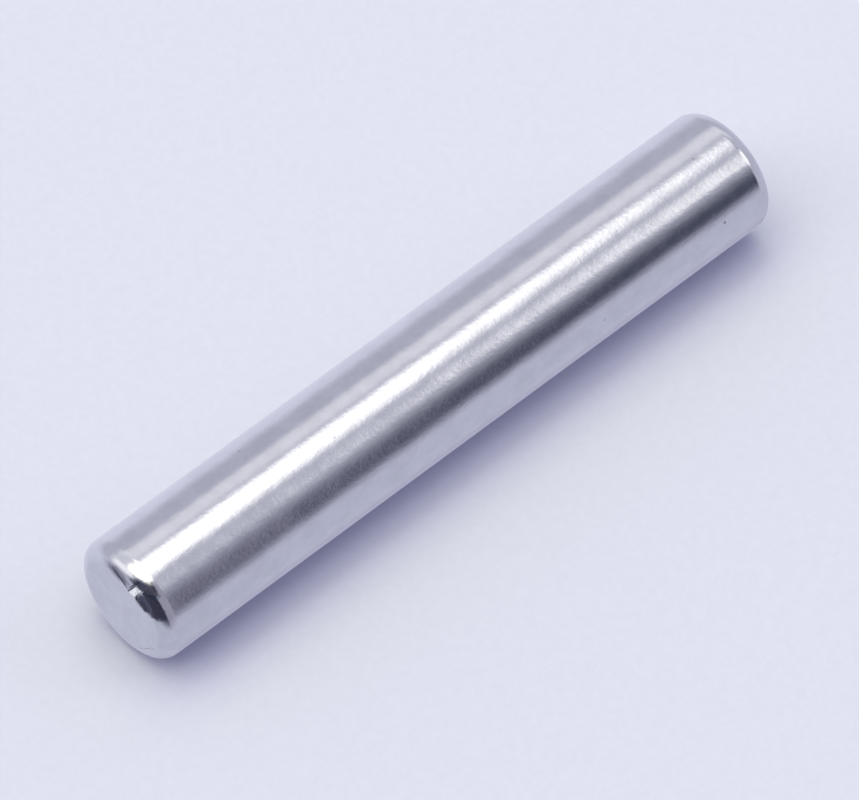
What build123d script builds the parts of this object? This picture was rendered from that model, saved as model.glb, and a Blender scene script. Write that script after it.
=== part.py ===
from build123d import *
import os

# Axle pin: one solid steel pin, a plain cylinder with a flat face and a rounded edge at each end.
# Sizes are in millimetres. +Z runs along the pin's axis, and the origin is the centre of its lower end
# face, so the pin stands on that face. Both ends are alike.

# Driving dimensions
pin_diameter = 4.0
pin_length = 24.0
edge_radius = 0.5

# The flat disc left inside the rounded edge, and the height at which the straight side ends
pin_radius = pin_diameter / 2
face_radius = pin_radius - edge_radius
side_top = pin_length - edge_radius

os.makedirs("parts", exist_ok=True)

# The pin is turned: half of its lengthwise section goes once round the axis.
with BuildPart() as axle_pin:
    with BuildSketch(Plane.XZ) as half_section:
        with BuildLine() as outline:
            lower_face = Line((0, 0), (face_radius, 0))
            lower_edge = JernArc(lower_face @ 1, lower_face % 1, edge_radius, 90)
            side = Line(lower_edge @ 1, (pin_radius, side_top))
            upper_edge = JernArc(side @ 1, side % 1, edge_radius, 90)
            upper_face = Line(upper_edge @ 1, (0, pin_length))
            Line(upper_face @ 1, lower_face @ 0)
        make_face()
    revolve(axis=Axis.Z)
axle_pin.part.label = "axle_pin"

export_step(axle_pin.part, "parts/axle_pin.step")
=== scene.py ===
import math

import bpy
from mathutils import Matrix, Vector, noise


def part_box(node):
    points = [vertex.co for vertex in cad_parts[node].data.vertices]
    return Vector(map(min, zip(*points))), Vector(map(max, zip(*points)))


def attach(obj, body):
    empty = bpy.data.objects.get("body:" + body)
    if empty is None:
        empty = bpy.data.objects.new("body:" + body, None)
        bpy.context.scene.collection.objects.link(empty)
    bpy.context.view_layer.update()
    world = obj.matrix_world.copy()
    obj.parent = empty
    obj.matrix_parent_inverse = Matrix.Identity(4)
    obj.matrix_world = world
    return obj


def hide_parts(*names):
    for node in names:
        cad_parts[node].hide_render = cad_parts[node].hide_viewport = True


# A polished steel axle pin. The pin stands on its end in the frame, with +Z along its axis.
# The photograph shows it lying on a pale table, so the table here is an upright plane that touches
# the pin's side, and the camera is turned so that the pin lies across the picture as it does there.

MM = 0.001
NODE = "axle_pin"

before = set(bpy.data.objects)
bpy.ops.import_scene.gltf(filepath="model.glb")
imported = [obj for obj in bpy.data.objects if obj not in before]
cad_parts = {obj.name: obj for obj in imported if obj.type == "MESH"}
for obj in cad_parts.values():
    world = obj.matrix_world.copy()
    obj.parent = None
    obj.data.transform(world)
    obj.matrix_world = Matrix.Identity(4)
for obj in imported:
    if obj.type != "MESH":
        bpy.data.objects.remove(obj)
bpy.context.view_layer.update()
pin_low, pin_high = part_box(NODE)
PIN_RADIUS = pin_high.x
PIN_LENGTH = pin_high.z - pin_low.z
EDGE_RADIUS = 0.5 * MM

# The picture's own directions in the frame: along the pin to its near end, out of the table, sideways
TABLE_FACES = math.radians(45)
ALONG = Vector((0, 0, -1))
OUT = Vector((math.sin(TABLE_FACES), -math.cos(TABLE_FACES), 0))
SIDE = ALONG.cross(OUT)
PIN_CENTRE = Vector((0, 0, PIN_LENGTH / 2))

# The photograph's view of the pin
PICTURE_WIDTH, PICTURE_HEIGHT = 859, 800
PIN_CENTRE_X, PIN_CENTRE_Y = 431.9, 381.1
PIN_SLOPE = math.radians(36.16)
LOOK_ANGLE = math.radians(65.99)
CAMERA_DISTANCE = 236.6 * MM
FOCAL_PIXELS = 8105
SENSOR_WIDTH = 36
CLIP_NEAR, CLIP_FAR = 0.01, 10


def direction(along, side, out):
    """A unit vector given by its parts along the pin, sideways and out of the table."""
    return (ALONG * along + SIDE * side + OUT * out).normalized()


# Pin

AROUND = 480
EDGE_STEPS = 20
HALF_SIDE_STEPS = 30
INNER_FACE_RINGS = 5
OUTER_FACE_RINGS = 18
OUTER_FACE_FROM = 0.95 * MM
CLOSE_SIDE_RINGS = 5
NORMAL_STEP = 0.006 * MM

FACE_RADIUS = PIN_RADIUS - EDGE_RADIUS
EDGE_LENGTH = EDGE_RADIUS * math.pi / 2
SIDE_LENGTH = PIN_LENGTH - 2 * EDGE_RADIUS
OUTLINE = 2 * (FACE_RADIUS + EDGE_LENGTH) + SIDE_LENGTH

# Each rounded edge was worn a little uneven, never past its true size
EDGE_WEAR = 0.010 * MM
EDGE_WEAR_LENGTH = 0.55 * MM

# The near end's rim is chipped. The chip is laid out on the end face, in millimetres across it and out
# from its middle. CHIP_EDGE says how far out the chip begins, and CHIP_DEPTH how deep it gets, at each
# place across. From its edge the chip slopes down to that depth, and there it levels off.
CHIP_OUT = direction(0, -0.489, 0.872)
CHIP_ACROSS = direction(0, -0.872, -0.489)
CHIP_EDGE = ((-1.25, 1.40), (-1.10, 1.14), (-0.60, 1.14), (-0.36, 1.12), (-0.27, 1.06), (0.00, 1.20),
             (0.08, 1.18), (0.50, 1.19), (0.66, 1.36), (0.80, 1.60))
CHIP_DEPTH = ((-1.20, 0.00), (-1.00, 0.025), (-0.60, 0.025), (-0.35, 0.02), (-0.26, 0.19), (-0.06, 0.19),
              (0.04, 0.04), (0.12, 0.05), (0.50, 0.06), (0.80, 0.00))
CHIP_SLOPE = math.tan(math.radians(34))
CHIP_MARGIN = 0.1 * MM
CHIP_HIGHEST = 1 * MM

# The chip's broken surface has a fine unevenness, and a coarser one that is longer and higher
CHIP_GRAIN = 0.008 * MM
CHIP_GRAIN_LENGTH = 0.14 * MM
COARSE_LENGTH = 3
COARSE_HEIGHT = 2
GRAIN_FULL_DEPTH = 0.03 * MM

# The chip is cut along straight lines towards this point inside the pin, found by halving
CHIP_CORE = Vector((0, 0, 2 * MM))
HALVINGS = 16


def along_line(line, x):
    """The height at x of a line eased through its points, and its end heights beyond its ends."""
    for (x0, y0), (x1, y1) in zip(line, line[1:]):
        if x <= x1:
            part = max(0.0, (x - x0) / (x1 - x0))
            return y0 + (y1 - y0) * part * part * (3 - 2 * part)
    return line[-1][1]


def chip_height(point):
    """How high above the end face the chip's surface lies at a point, or -1 well away from the chip."""
    across = CHIP_ACROSS.dot(point)
    inside = CHIP_OUT.dot(point) - along_line(CHIP_EDGE, across / MM) * MM
    if inside < -CHIP_MARGIN:
        return -1.0
    grain = noise.noise(point / CHIP_GRAIN_LENGTH) * CHIP_GRAIN
    grain += noise.noise(point / (COARSE_LENGTH * CHIP_GRAIN_LENGTH)) * COARSE_HEIGHT * CHIP_GRAIN
    depth = along_line(CHIP_DEPTH, across / MM) * MM
    height = min(inside * CHIP_SLOPE, depth)
    return height + grain * min(1.0, max(0.0, height / GRAIN_FULL_DEPTH))


def drawn_in(point):
    """Where the line from the pin's core to a point that the chip took away comes out of the metal."""
    kept, cut = 0.0, 1.0
    for _ in range(HALVINGS):
        half = (kept + cut) / 2
        tried = CHIP_CORE.lerp(point, half)
        if tried.z < chip_height(tried):
            cut = half
        else:
            kept = half
    return CHIP_CORE.lerp(point, kept)


def section(travel):
    """A point of the true half section, by its distance along the outline from the near face's middle.

    It gives the radius, the height and how far into a rounded edge the point is, from 0 to 1.
    """
    if travel > OUTLINE / 2:
        radius, height, into = section(OUTLINE - travel)
        return radius, PIN_LENGTH - height, into
    if travel <= FACE_RADIUS:
        return travel, 0.0, 0.0
    turn = (travel - FACE_RADIUS) / EDGE_RADIUS
    if turn < math.pi / 2:
        radius = FACE_RADIUS + EDGE_RADIUS * math.sin(turn)
        height = EDGE_RADIUS * (1 - math.cos(turn))
        return radius, height, math.sin(2 * turn)
    return PIN_RADIUS, EDGE_RADIUS + travel - FACE_RADIUS - EDGE_LENGTH, 0.0


def surface(travel, turn):
    """A point of the worn surface, by its distance along the half section and its turn about the axis."""
    radius, height, into = section(travel)
    point = Vector((radius * math.cos(turn), radius * math.sin(turn), height))
    if into:
        wear = EDGE_WEAR * into * into * (0.5 + 0.5 * noise.noise(point / EDGE_WEAR_LENGTH))
        middle = EDGE_RADIUS if height < PIN_LENGTH / 2 else PIN_LENGTH - EDGE_RADIUS
        heart = Vector((FACE_RADIUS * math.cos(turn), FACE_RADIUS * math.sin(turn), middle))
        point += (heart - point).normalized() * wear
    if height < CHIP_HIGHEST and point.z < chip_height(point):
        point = drawn_in(point)
    return point


def normal_at(travel, turn):
    """The direction that the worn surface faces, from points a short step away on each side."""
    radius = max(section(travel)[0], NORMAL_STEP)
    turn_step = NORMAL_STEP / radius
    lengthwise = surface(travel + NORMAL_STEP, turn) - surface(travel - NORMAL_STEP, turn)
    crosswise = surface(travel, turn + turn_step) - surface(travel, turn - turn_step)
    return crosswise.cross(lengthwise).normalized()


def ring_places():
    """How far along the outline each ring of points lies, close together where the pin curves."""
    places = [OUTER_FACE_FROM * i / INNER_FACE_RINGS for i in range(1, INNER_FACE_RINGS)]
    rest = FACE_RADIUS - OUTER_FACE_FROM
    places += [OUTER_FACE_FROM + rest * i / OUTER_FACE_RINGS for i in range(OUTER_FACE_RINGS)]
    places += [FACE_RADIUS + EDGE_LENGTH * i / EDGE_STEPS for i in range(EDGE_STEPS)]
    straight = FACE_RADIUS + EDGE_LENGTH
    places += [straight + EDGE_LENGTH / EDGE_STEPS * i for i in range(CLOSE_SIDE_RINGS)]
    first = places[-1]
    half_side = OUTLINE / 2 - first
    places += [first + half_side * i / HALF_SIDE_STEPS for i in range(1, HALF_SIDE_STEPS)]
    return places + [OUTLINE / 2] + [OUTLINE - place for place in reversed(places)]


def make_pin():
    """The visible pin: rings of points round the axis, from the near face to the far one."""
    rings = ring_places()
    points = [Vector((0, 0, 0))]
    normals = [Vector((0, 0, -1))]
    for travel in rings:
        for k in range(AROUND):
            turn = 2 * math.pi * k / AROUND
            points.append(surface(travel, turn))
            normals.append(normal_at(travel, turn))
    points.append(Vector((0, 0, PIN_LENGTH)))
    normals.append(Vector((0, 0, 1)))

    faces = []
    last = len(points) - 1
    top_ring = last - AROUND
    for k in range(AROUND):
        after = (k + 1) % AROUND
        faces.append((0, 1 + after, 1 + k))
        for j in range(len(rings) - 1):
            here = 1 + j * AROUND
            above = here + AROUND
            faces.append((here + k, here + after, above + after, above + k))
        faces.append((top_ring + k, top_ring + after, last))

    mesh = bpy.data.meshes.new("pin_surface")
    mesh.from_pydata(points, [], faces)
    mesh.shade_smooth()
    mesh.normals_split_custom_set_from_vertices(normals)
    pin = bpy.data.objects.new("steel_pin", mesh)
    bpy.context.collection.objects.link(pin)
    return pin


class Nodes:
    """Adds nodes to a material or a world and links them."""

    def __init__(self, owner):
        owner.use_nodes = True
        self.tree = owner.node_tree
        self.tree.nodes.clear()

    def connect(self, value, socket):
        """Links an output to a socket, or sets the socket to a plain value."""
        if isinstance(value, bpy.types.NodeSocket):
            self.tree.links.new(value, socket)
        else:
            socket.default_value = value

    def add(self, kind, inputs=None, **settings):
        node = self.tree.nodes.new(kind)
        for name, value in settings.items():
            setattr(node, name, value)
        for name, value in (inputs or {}).items():
            self.connect(value, node.inputs[name])
        return node

    def math(self, operation, *values):
        node = self.add("ShaderNodeMath", dict(enumerate(values)), operation=operation)
        return node.outputs[0]

    def vector(self, operation, *values):
        node = self.add("ShaderNodeVectorMath", dict(enumerate(values)), operation=operation)
        gives_number = operation in ("DOT_PRODUCT", "DISTANCE", "LENGTH")
        return node.outputs["Value" if gives_number else "Vector"]

    def smooth(self, value, low, high, to_low=0.0, to_high=1.0):
        """A soft step from to_low, where the value is at low, to to_high, where it is at high."""
        limits = {"Value": value, "From Min": low, "From Max": high, "To Min": to_low, "To Max": to_high}
        node = self.add("ShaderNodeMapRange", limits, interpolation_type="SMOOTHSTEP")
        return node.outputs["Result"]

    def mix(self, factor, first, second):
        """A colour between two: the first where the factor is 0, the second where it is 1."""
        node = self.add("ShaderNodeMix", {"Factor": factor}, data_type="RGBA")
        for name, value in (("A", first), ("B", second)):
            socket = [s for s in node.inputs if s.name == name and s.type == "RGBA"][0]
            self.connect(value, socket)
        return [s for s in node.outputs if s.type == "RGBA"][0]


# Steel

STEEL_PALE = (0.645, 0.650, 0.686, 1)
STEEL_DEEP = (0.600, 0.605, 0.640, 1)
STEEL_ROUGHNESS = 0.15
FACE_ROUGHNESS = 0.24
ROUGHNESS_SPREAD = 0.035
FACE_FADE = 0.2 * MM

# How fine each pattern is, in cycles to the metre, along X, Y and Z where they differ
GRAIN_SCALE = (9000, 9000, 7000)
LINE_SCALE = (5500, 5500, 1800)
STREAK_SCALE = (3500, 3500, 8000)
WAVE_SCALE = (650, 650, 500)
SCRATCH_SCALE = (900, 900, 14000)
SCRATCH_TURN = (0.5, 0.3, 0.0)
SCRATCHED_SCALE = 500
PIT_SCALE = 1100
ROUGHNESS_SCALE = 2600
TONE_SCALE = 1300
RAGGED_SCALE = 7000

# Where each pattern fades in, between two levels of its noise
SCRATCH_LEVELS = (0.70, 0.75)
SCRATCHED_LEVELS = (0.52, 0.62)
TONE_LEVELS = (0.35, 0.65)

# Heights of the steel's fine relief, in metres
GRAIN_HEIGHT = 2.1e-6
LINE_HEIGHT = 2.2e-6
STREAK_HEIGHT = 0.3e-6
WAVE_HEIGHT = 14e-6
SCRATCH_HEIGHT = -0.7e-6
SMALL_PIT_HEIGHT = -1.5e-6
PIT_HEIGHT = -9e-6

# Tiny pits: one to a cell of the pattern, in the cells that draw a number above PIT_CHANCE
PIT_CHANCE = 0.7
SMALL_PIT_MIDDLE, SMALL_PIT_RIM = 0.02, 0.07
PIT_TONE = (0.10, 0.10, 0.11, 1)
SMALL_PIT_DARK = 0.25

# One larger dark pit shows on the side, near the far end
PIT_TURN = math.radians(-70)
PIT_AT = direction(0, math.sin(PIT_TURN), math.cos(PIT_TURN)) * PIN_RADIUS
PIT_AT = PIT_AT + Vector((0, 0, 22.0 * MM))
PIT_SIZE = 0.075 * MM
PIT_CORE = 0.3
PIT_DARK = 0.5

# The metal in the chip is rougher, and its colour is painted dark in three soft blots: a painted dark
# reflection of the dark room that the rim mirrors. They are laid out on the metal in millimetres,
# across the end face and up it, and depth below the face counts towards up as well.
DARK_REFLECTION_TONE = (0.10, 0.10, 0.15, 1)
BLOT_ROUGHNESS = 0.6
BLOT_ROUGH_POWER = 4
BLOT_RAGGED = 0.6
BLOTS_END = 0.7 * MM
UP_WITH_DEPTH = 2.245
BLOT_RISE = CHIP_OUT + Vector((0, 0, UP_WITH_DEPTH))
CHIP_BLOT = dict(across=0.48, up=1.75, half_across=0.50, half_up=0.56, lean=0.45, soft=0.22)
LINE_BLOT = dict(across=-0.82, up=1.25, half_across=0.46, half_up=0.26, lean=0.30, soft=0.45)
LEDGE_BLOT = dict(across=-0.06, up=2.20, half_across=0.40, half_up=0.34, lean=0.85, soft=0.32)
LINE_STRENGTH = 0.72


def cloud(n, vector, scale=1.0, detail=2.0, rough=0.5, warp=0.0):
    """Plain noise from 0 to 1."""
    inputs = {"Vector": vector, "Scale": scale, "Detail": detail, "Roughness": rough, "Distortion": warp}
    return n.add("ShaderNodeTexNoise", inputs).outputs["Fac"]


def ellipse_reach(n, across, up, blot):
    """How far a place is from the middle of a leaning ellipse, with 1 at its rim."""
    beside = n.math("SUBTRACT", across, blot["across"])
    leaning = n.math("MULTIPLY", beside, blot["lean"])
    above = n.math("SUBTRACT", n.math("SUBTRACT", up, blot["up"]), leaning)
    wide = n.math("POWER", n.math("DIVIDE", beside, blot["half_across"]), 2)
    high = n.math("POWER", n.math("DIVIDE", above, blot["half_up"]), 2)
    return n.math("SQRT", n.math("ADD", wide, high))


def dullness_and_dark_reflection(n, place, height):
    """How rough the metal in the chip is and how much painted dark reflection lies on it, from 0 to 1."""
    across = n.vector("DOT_PRODUCT", place, CHIP_ACROSS / MM)
    up = n.vector("DOT_PRODUCT", place, BLOT_RISE / MM)
    ragged = n.math("MULTIPLY_ADD", cloud(n, place, RAGGED_SCALE, detail=3), BLOT_RAGGED, -BLOT_RAGGED / 2)

    def inside(blot):
        reach = n.math("ADD", ellipse_reach(n, across, up, blot), ragged)
        return n.smooth(reach, 1 - blot["soft"], 1 + blot["soft"], 1.0, 0.0)

    dull = n.math("MAXIMUM", inside(CHIP_BLOT), n.math("MULTIPLY", inside(LINE_BLOT), LINE_STRENGTH))
    dull = n.math("MAXIMUM", dull, inside(LEDGE_BLOT))
    return n.math("MULTIPLY", dull, n.math("LESS_THAN", height, BLOTS_END))


def steel():
    """Ground steel with fine grain, faint lines and waves, hairline scratches, pits and the rough chip with
    painted dark reflection.
    """
    material = bpy.data.materials.new("polished_steel_fine_grain")
    n = Nodes(material)
    place = n.add("ShaderNodeTexCoord").outputs["Object"]
    parts = n.add("ShaderNodeSeparateXYZ", {"Vector": place}).outputs

    def stretched(scale):
        return n.vector("MULTIPLY", place, scale)

    grain = cloud(n, stretched(GRAIN_SCALE), detail=3, rough=0.6)
    lines = cloud(n, stretched(LINE_SCALE))
    streaks = cloud(n, stretched(STREAK_SCALE), warp=0.8)
    waves = cloud(n, stretched(WAVE_SCALE), detail=1)
    slanting = {"Vector": place, "Rotation": SCRATCH_TURN, "Scale": SCRATCH_SCALE}
    slant = n.add("ShaderNodeMapping", slanting).outputs[0]
    scratch_lines = n.smooth(cloud(n, slant, detail=1, warp=0.3), *SCRATCH_LEVELS)
    scratched = n.smooth(cloud(n, place, SCRATCHED_SCALE), *SCRATCHED_LEVELS)
    scratches = n.math("MULTIPLY", scratch_lines, scratched)

    cells = n.add("ShaderNodeTexVoronoi", {"Vector": place, "Scale": PIT_SCALE, "Randomness": 1.0}).outputs
    drawn = n.add("ShaderNodeSeparateColor", {"Color": cells["Color"]}).outputs[0]
    chosen = n.math("GREATER_THAN", drawn, PIT_CHANCE)
    pit_shape = n.smooth(cells["Distance"], SMALL_PIT_MIDDLE, SMALL_PIT_RIM, 1.0, 0.0)
    small_pits = n.math("MULTIPLY", pit_shape, chosen)
    from_pit = n.vector("DISTANCE", place, PIT_AT)
    one_pit = n.smooth(from_pit, PIT_CORE * PIT_SIZE, PIT_SIZE, 1.0, 0.0)

    relief = n.math("MULTIPLY", grain, GRAIN_HEIGHT)
    for layer, height in ((lines, LINE_HEIGHT), (streaks, STREAK_HEIGHT), (waves, WAVE_HEIGHT),
                          (scratches, SCRATCH_HEIGHT), (small_pits, SMALL_PIT_HEIGHT), (one_pit, PIT_HEIGHT)):
        relief = n.math("MULTIPLY_ADD", layer, height, relief)
    bump = n.add("ShaderNodeBump", {"Height": relief, "Distance": 1.0, "Strength": 1.0})

    flat = n.add("ShaderNodeCombineXYZ", {"X": parts["X"], "Y": parts["Y"]}).outputs[0]
    from_axis = n.vector("LENGTH", flat)
    on_face = n.smooth(from_axis, FACE_RADIUS, FACE_RADIUS + FACE_FADE, 1.0, 0.0)
    least_rough = STEEL_ROUGHNESS - ROUGHNESS_SPREAD / 2
    roughness = n.math("MULTIPLY_ADD", on_face, FACE_ROUGHNESS - STEEL_ROUGHNESS, least_rough)
    uneven = cloud(n, place, ROUGHNESS_SCALE, detail=3)
    roughness = n.math("MULTIPLY_ADD", uneven, ROUGHNESS_SPREAD, roughness)

    mottle = n.smooth(cloud(n, place, TONE_SCALE, detail=4, rough=0.65), *TONE_LEVELS)
    tone = n.mix(mottle, STEEL_DEEP, STEEL_PALE)
    pits_dark = n.math("MULTIPLY", small_pits, SMALL_PIT_DARK)
    dark = n.math("MAXIMUM", n.math("MULTIPLY", one_pit, PIT_DARK), pits_dark)
    tone = n.mix(dark, tone, PIT_TONE)

    # Painted dark reflection: the chip's blots darken the steel's colour, and make it rougher
    dull = dullness_and_dark_reflection(n, place, parts["Z"])
    tone = n.mix(dull, tone, DARK_REFLECTION_TONE)
    rougher = n.math("SUBTRACT", BLOT_ROUGHNESS, roughness)
    roughness = n.math("MULTIPLY_ADD", rougher, n.math("POWER", dull, BLOT_ROUGH_POWER), roughness)

    look = {"Base Color": tone, "Metallic": 1.0, "Roughness": roughness, "Normal": bump.outputs[0]}
    shader = n.add("ShaderNodeBsdfPrincipled", look)
    n.add("ShaderNodeOutputMaterial", {"Surface": shader.outputs[0]})
    return material


pin = make_pin()
pin.data.materials.append(steel())
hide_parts(NODE)
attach(pin, "root")


# Stage

PAPER_PALE = (0.573, 0.590, 0.775, 1)
PAPER_DEEP = (0.553, 0.570, 0.752, 1)
FLOOR_PALE = (0.86, 0.87, 0.88, 1)
FLOOR_DEEP = (0.83, 0.84, 0.85, 1)
FIBRES = {"Scale": 3500, "Detail": 4, "Roughness": 0.7}
FIBRE_LEVELS = (0.3, 0.7)
TABLE_HALF = 0.6
FLOOR_HALF = 0.6
CORNERS = ((-1, -1), (1, -1), (1, 1), (-1, 1))


def make_plane(name, corner_points, material):
    mesh = bpy.data.meshes.new(name)
    mesh.from_pydata(corner_points, [], [(0, 1, 2, 3)])
    mesh.materials.append(material)
    plane = bpy.data.objects.new(name, mesh)
    bpy.context.collection.objects.link(plane)
    return plane


def pale_paper(name, pale, deep):
    """Matt pale paper with a faint mottle, seen from its front only: from behind it isn't there."""
    material = bpy.data.materials.new(name)
    n = Nodes(material)
    place = n.add("ShaderNodeTexCoord").outputs["Object"]
    fibres = n.add("ShaderNodeTexNoise", {"Vector": place, **FIBRES})
    colour = n.mix(n.smooth(fibres.outputs["Fac"], *FIBRE_LEVELS), deep, pale)
    front = n.add("ShaderNodeBsdfDiffuse", {"Color": colour, "Roughness": 0.0})
    clear = n.add("ShaderNodeBsdfTransparent")
    behind = n.add("ShaderNodeNewGeometry").outputs["Backfacing"]
    both = n.add("ShaderNodeMixShader", {0: behind, 1: front.outputs[0], 2: clear.outputs[0]})
    n.add("ShaderNodeOutputMaterial", {"Surface": both.outputs[0]})
    return material


# The steel doesn't mirror the table itself: what it mirrors there is painted in the room below
touch = PIN_CENTRE - OUT * PIN_RADIUS
table_corners = [touch + SIDE * (x * TABLE_HALF) + ALONG * (y * TABLE_HALF) for x, y in CORNERS]
table = make_plane("table", table_corners, pale_paper("table_paper", PAPER_PALE, PAPER_DEEP))
table.visible_glossy = False

# The floor under the standing pin shows only to a camera above it, so it never comes between the
# main camera and the pin, and it throws no light or shadow on the pin.
floor_corners = [Vector((x * FLOOR_HALF, y * FLOOR_HALF, 0)) for x, y in CORNERS]
floor = make_plane("floor", floor_corners, pale_paper("floor_paper", FLOOR_PALE, FLOOR_DEEP))
floor.visible_diffuse = False
floor.visible_glossy = False
floor.visible_transmission = False
floor.visible_shadow = False


# Light

# The room round the pin is its light. What the steel mirrors is laid out as soft-edged patches of
# light on a paler and a darker wall. Every direction is given by its parts along the pin, sideways and
# out of the table, and a fade lies between two cosines of the angle to its direction.

DARK_WALL = (0.05, 0.06, 0.10, 1)
PALE_WALL = (0.61, 0.62, 0.73, 1)
PALE_WALL_FACES = (-0.39, 0.77, 0.51)
PALE_WALL_FADE = (-0.38, 0.03)
FAR_WALL = (0.65, 0.66, 0.78, 1)
FAR_WALL_FADE = (0.50, 0.62)
TO_NEAR_END = (1, 0, 0)
TO_FAR_END = (-1, 0, 0)

# The room is dark round the place from which the photograph was taken
DARK_PLACE = (0.05, 0.05, 0.08, 1)
DARK_PLACE_AT = (0.408, -0.446, 0.796)
DARK_PLACE_FADE = (math.cos(math.radians(24)), math.cos(math.radians(8)))

# Each patch has its half-sizes as tangents, across and along the pin, and is turned by some degrees.
# The higher its corner, the squarer it is.
GREY_SCREEN = (0.43, 0.42, 0.53, 1)
GREY_SCREEN_PATCH = dict(middle=(0.14, -0.84, 0.52), half_width=4.5, half_height=0.56,
                         softness=0.16, turn=6.5)
SIDE_STRIP = (1.01, 1.00, 1.08, 1)
SIDE_STRIP_PATCH = dict(middle=(-0.01, 0.62, 0.78), half_width=0.205, half_height=1.48,
                        softness=0.54, turn=13)
WINDOW = (1.62, 1.60, 1.60, 1)
WINDOW_PATCH = dict(middle=(-0.62, -0.465, 0.635), half_width=0.225, half_height=0.225,
                    softness=0.15, turn=-17)
SOFTBOX = (2.55, 2.50, 2.42, 1)
SOFTBOX_PATCH = dict(middle=(0.16, 0.05, 0.99), half_width=0.435, half_height=0.70,
                     softness=0.20, turn=16, corner=2.8)
WARM_LIGHT = (2.62, 2.54, 2.22, 1)
WARM_LIGHT_PATCH = dict(middle=(0.603, 0.082, 0.794), half_width=0.235, half_height=0.60,
                        softness=0.50, turn=44)
SOFTBOX_WARMS = (-0.30, 0.05)
NEAR_STRIP = (0.875, 0.885, 0.965, 1)
NEAR_STRIP_PATCH = dict(middle=(0.593, 0.603, 0.534), half_width=0.262, half_height=1.20,
                        softness=0.30, turn=4.8)
NEAR_STRIP_FADE = (-0.20, 0.0)
LOW_LAMP = (1.32, 1.32, 1.37, 1)
LOW_LAMP_PATCH = dict(middle=(0.865, 0.463, 0.195), half_width=0.266, half_height=0.224, softness=0.30)
LOW_DARK_PATCH = dict(middle=(0.942, -0.174, -0.286), half_width=0.56, half_height=0.155,
                      softness=0.30, turn=-34)

# Below the horizon the steel mirrors the table, darker in the pin's shadow and paler on the lit side
TABLE_MIRRORED = (0.67, 0.68, 0.83, 1)
TABLE_IN_SHADOW = (0.52, 0.52, 0.68, 1)
SHADOW_TOWARDS = (-0.40, 0.33, -0.85)
SHADOW_FADE = (0.79, 1.0)
TABLE_LIT = (0.85, 0.86, 1.01, 1)
LIT_TOWARDS = (0, 1, 0)
LIT_FADE = (0.2, 0.9)
HORIZON = ALONG * 0.25 - SIDE * 0.091 + OUT
HORIZON_FADE = (-0.32, 0.10)

# A patch is seen only by a ray that goes its way by at least this cosine
LEAST_AHEAD = 0.01


def patch(n, looking, middle, half_width, half_height, softness, turn=0.0, corner=3.0):
    """How much of a soft-edged patch is seen: 1 inside, 0 outside."""
    centre = direction(*middle)
    across = (SIDE - centre * SIDE.dot(centre)).normalized()
    lengthwise = centre.cross(across)
    tilt = Matrix.Rotation(math.radians(-turn), 3, centre)
    ahead = n.vector("DOT_PRODUCT", looking, centre)
    reach = []
    for axis, half in ((tilt @ across, half_width), (tilt @ lengthwise, half_height)):
        offset = n.math("ABSOLUTE", n.math("DIVIDE", n.vector("DOT_PRODUCT", looking, axis), ahead))
        reach.append(n.math("POWER", n.math("DIVIDE", offset, half), corner))
    edge = n.math("POWER", n.math("ADD", *reach), 1 / corner)
    inside = n.smooth(edge, 1 - softness, 1 + softness, 1.0, 0.0)
    return n.math("MULTIPLY", inside, n.math("GREATER_THAN", ahead, LEAST_AHEAD))


def studio_room():
    """The painted room, from its walls to what lies in front of them."""
    world = bpy.data.worlds.new("studio_room")
    bpy.context.scene.world = world
    n = Nodes(world)
    looking = n.add("ShaderNodeTexCoord").outputs["Generated"]

    def facing(parts, fade):
        return n.smooth(n.vector("DOT_PRODUCT", looking, direction(*parts)), *fade)

    def on_patch(shape):
        return patch(n, looking, **shape)

    room = n.mix(facing(PALE_WALL_FACES, PALE_WALL_FADE), DARK_WALL, PALE_WALL)
    room = n.mix(facing(TO_FAR_END, FAR_WALL_FADE), room, FAR_WALL)
    room = n.mix(on_patch(GREY_SCREEN_PATCH), room, GREY_SCREEN)
    room = n.mix(facing(DARK_PLACE_AT, DARK_PLACE_FADE), room, DARK_PLACE)
    room = n.mix(on_patch(SIDE_STRIP_PATCH), room, SIDE_STRIP)
    room = n.mix(on_patch(WINDOW_PATCH), room, WINDOW)
    room = n.mix(on_patch(WARM_LIGHT_PATCH), room, WARM_LIGHT)
    softbox = n.mix(facing(TO_NEAR_END, SOFTBOX_WARMS), SOFTBOX, WARM_LIGHT)
    room = n.mix(on_patch(SOFTBOX_PATCH), room, softbox)
    near_strip = n.math("MULTIPLY", on_patch(NEAR_STRIP_PATCH), facing(TO_NEAR_END, NEAR_STRIP_FADE))
    room = n.mix(near_strip, room, NEAR_STRIP)
    room = n.mix(on_patch(LOW_LAMP_PATCH), room, LOW_LAMP)

    below = n.mix(facing(SHADOW_TOWARDS, SHADOW_FADE), TABLE_MIRRORED, TABLE_IN_SHADOW)
    below = n.mix(facing(LIT_TOWARDS, LIT_FADE), below, TABLE_LIT)
    above_table = n.vector("DOT_PRODUCT", looking, HORIZON)
    room = n.mix(n.smooth(above_table, *HORIZON_FADE, 1.0, 0.0), room, below)
    room = n.mix(on_patch(LOW_DARK_PATCH), room, DARK_WALL)
    sky = n.add("ShaderNodeBackground", {"Color": room, "Strength": 1.0})
    n.add("ShaderNodeOutputWorld", {"Surface": sky.outputs[0]})


studio_room()

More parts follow.
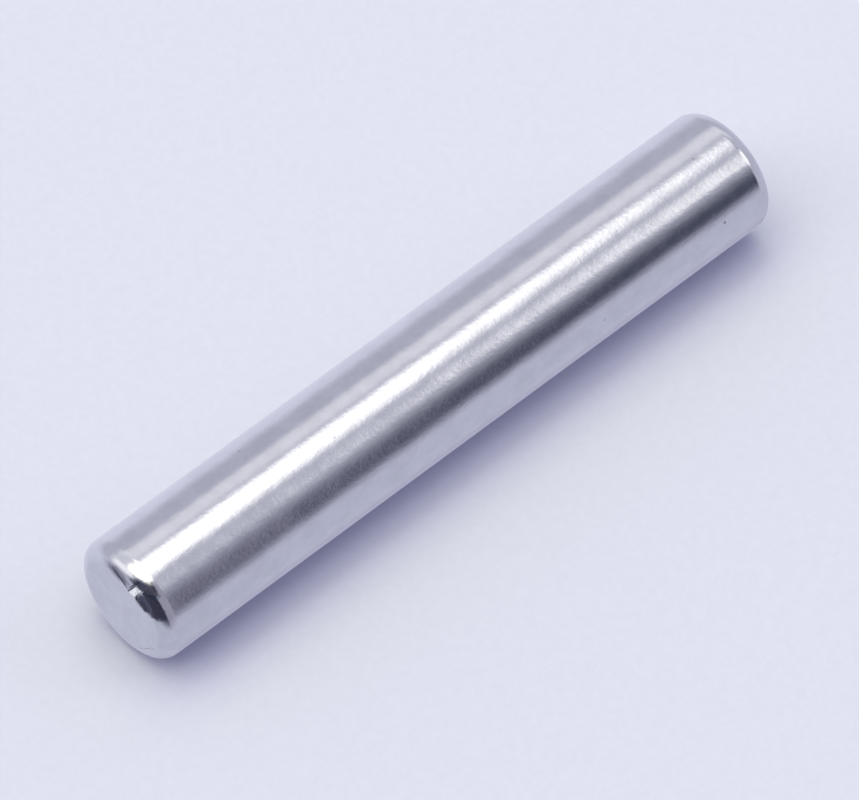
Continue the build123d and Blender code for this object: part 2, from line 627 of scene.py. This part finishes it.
# One lamp lights the table alone: its light shapes the pin's shadow, and the steel doesn't mirror it
LAMP_FROM = (0, 0.334, 0.943)
LAMP_DISTANCE = 0.8
LAMP_WIDTH = 0.43
LAMP_LENGTH = 0.8
LAMP_POWER = 1.80
LAMP_COLOUR = (1.0, 0.99, 0.28)


def table_lamp():
    data = bpy.data.lights.new("table_lamp", "AREA")
    data.shape = "RECTANGLE"
    data.size = LAMP_WIDTH
    data.size_y = LAMP_LENGTH
    data.energy = LAMP_POWER
    data.color = LAMP_COLOUR
    shines_from = direction(*LAMP_FROM)
    across = ALONG.cross(shines_from).normalized()
    lamp = bpy.data.objects.new("table_lamp", data)
    turn = Matrix((across, shines_from.cross(across), shines_from)).transposed()
    lamp.matrix_world = Matrix.Translation(PIN_CENTRE + shines_from * LAMP_DISTANCE) @ turn.to_4x4()
    lamp.visible_camera = False
    lamp.visible_glossy = False
    bpy.context.collection.objects.link(lamp)


table_lamp()


# Camera

def make_camera():
    """Sets the camera so that the pin's middle, slope and slant fall where the photograph has them."""
    along = Vector((-math.cos(PIN_SLOPE) * math.sin(LOOK_ANGLE),
                    -math.sin(PIN_SLOPE) * math.sin(LOOK_ANGLE), math.cos(LOOK_ANGLE)))
    tilt = math.atan2(-along.y, along.z)
    out = Vector((0, math.cos(tilt), math.sin(tilt)))
    side = along.cross(out)
    to_camera = Matrix((along, side, out)).transposed()
    to_frame = Matrix((ALONG, SIDE, OUT)).transposed() @ to_camera.transposed()
    pixel = CAMERA_DISTANCE / FOCAL_PIXELS
    centre = Vector(((PIN_CENTRE_X - PICTURE_WIDTH / 2) * pixel,
                     (PICTURE_HEIGHT / 2 - PIN_CENTRE_Y) * pixel, -CAMERA_DISTANCE))
    data = bpy.data.cameras.new("camera")
    data.sensor_width = SENSOR_WIDTH
    data.lens = SENSOR_WIDTH * FOCAL_PIXELS / PICTURE_WIDTH
    data.clip_start, data.clip_end = CLIP_NEAR, CLIP_FAR
    camera = bpy.data.objects.new("camera", data)
    camera.matrix_world = Matrix.Translation(PIN_CENTRE - to_frame @ centre) @ to_frame.to_4x4()
    bpy.context.collection.objects.link(camera)
    bpy.context.scene.camera = camera


make_camera()

bpy.context.scene.view_settings.view_transform = "Standard"
